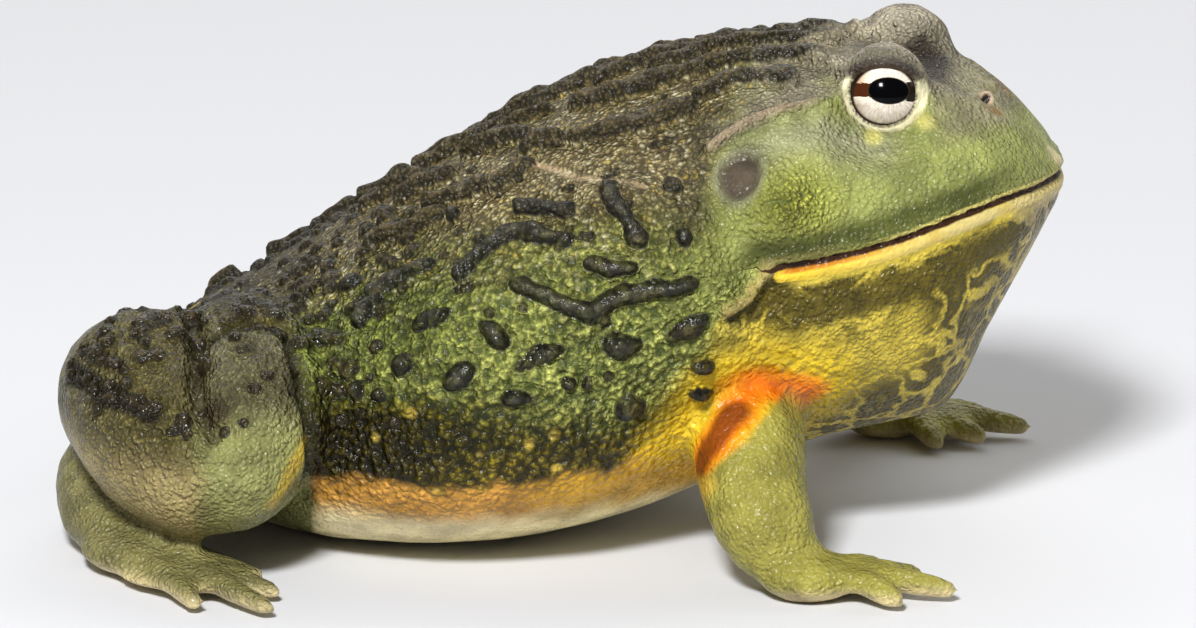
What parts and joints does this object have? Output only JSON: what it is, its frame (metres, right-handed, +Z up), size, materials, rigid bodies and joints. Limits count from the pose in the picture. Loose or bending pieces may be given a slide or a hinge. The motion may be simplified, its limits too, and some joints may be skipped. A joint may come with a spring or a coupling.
{
  "type": "african bullfrog model",
  "caption": "Life-size still model of a heavy bullfrog sitting with its head raised, propped on its forelegs, with folded hind legs.",
  "frame": {"origin": "middle of the footprint's bounding box, on the level of the flats that the frog rests on", "axes": "+X forward, from vent to snout; +Y to the frog's left; +Z up"},
  "size_m": [0.2126, 0.2036, 0.1087],
  "materials": {
    "back_skin": "wet olive skin with dark warts and ridges",
    "throat_skin": "wet yellow skin mottled with olive",
    "arm_skin": "wet pale green skin",
    "leg_skin": "wet grey-green skin with dark bars",
    "eye": "glossy cream eye with a level dark pupil"
  },
  "bodies": {
    "root": {"trunk": "back_skin", "head": "back_skin", "lower_jaw": "throat_skin", "eye_right": "eye", "eye_left": "eye", "upper_arm_right": "arm_skin", "upper_arm_left": "arm_skin", "forearm_right": "arm_skin", "forearm_left": "arm_skin", "hand_right": "arm_skin", "hand_left": "arm_skin", "thigh_right": "leg_skin", "thigh_left": "leg_skin", "shank_right": "leg_skin", "shank_left": "leg_skin", "foot_right": "leg_skin", "foot_left": "leg_skin"}
  },
  "joints": []
}
